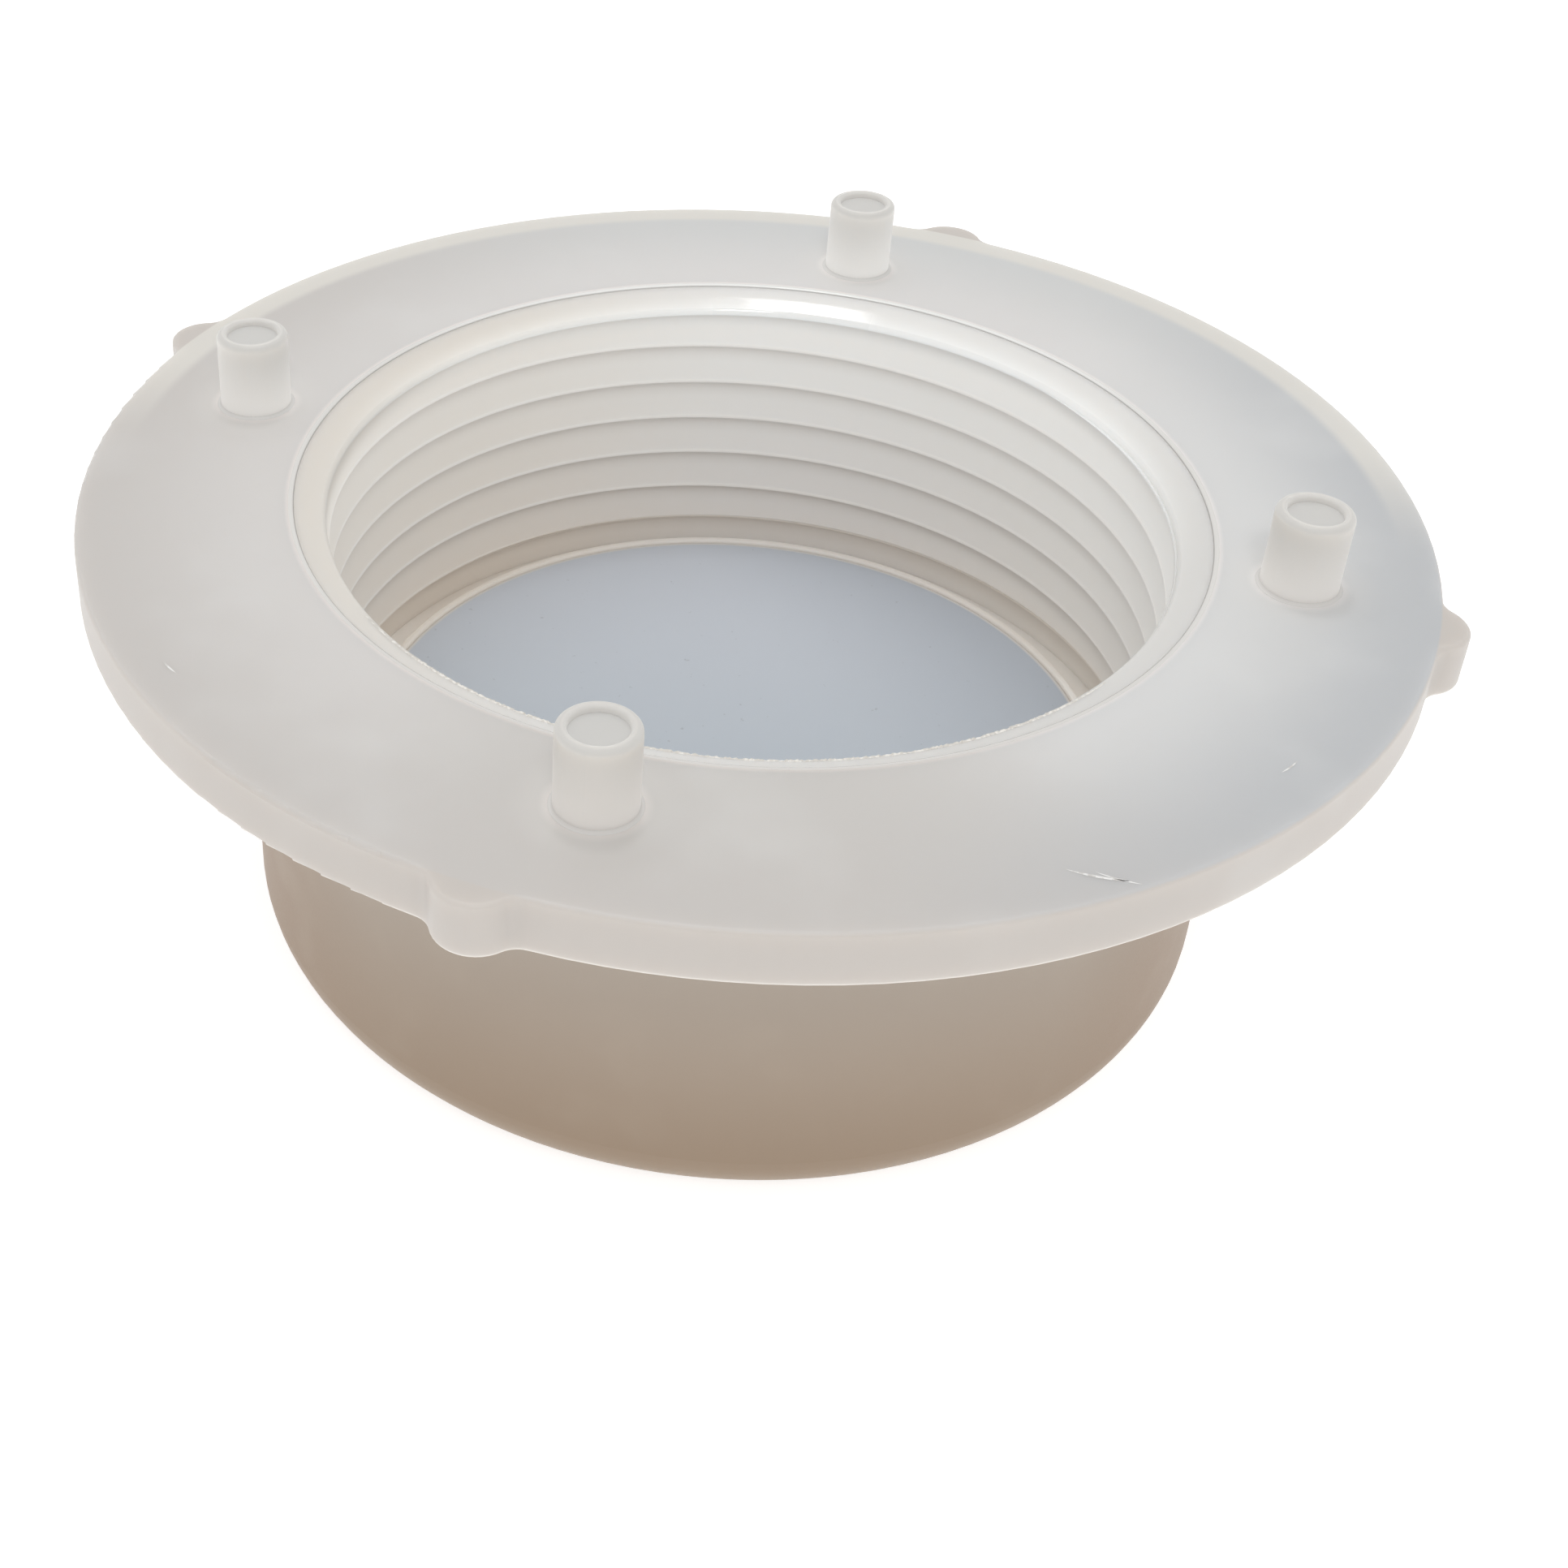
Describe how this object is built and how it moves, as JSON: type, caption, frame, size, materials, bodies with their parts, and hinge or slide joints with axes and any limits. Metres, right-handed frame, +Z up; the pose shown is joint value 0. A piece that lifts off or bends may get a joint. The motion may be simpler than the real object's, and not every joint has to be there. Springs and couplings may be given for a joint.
{
  "type": "toilet flange",
  "caption": "Round translucent plastic closet flange with a coarse threaded blind bore, upright bolt posts, rim lugs and a closed bowl under the plate.",
  "frame": {"origin": "centre of the bowl's flat base, on the bore axis", "axes": "+Z up the bore axis and out of the mouth; the bolt posts stand on the X and Y axes"},
  "size_m": [0.1831, 0.1834, 0.0755],
  "materials": {
    "plate_plastic": "translucent natural polypropylene, satin",
    "sleeve_plastic": "translucent natural polypropylene, smooth",
    "disc_plastic": "pale blue-grey plastic, satin",
    "bowl_plastic": "warm grey-tan plastic, satin",
    "post_plastic": "translucent natural polypropylene, satin"
  },
  "bodies": {
    "root": {"flange_plate": "plate_plastic", "threaded_sleeve": "sleeve_plastic", "blanking_disc": "disc_plastic", "bowl": "bowl_plastic", "post_1": "post_plastic", "post_2": "post_plastic", "post_3": "post_plastic", "post_4": "post_plastic"}
  },
  "joints": []
}
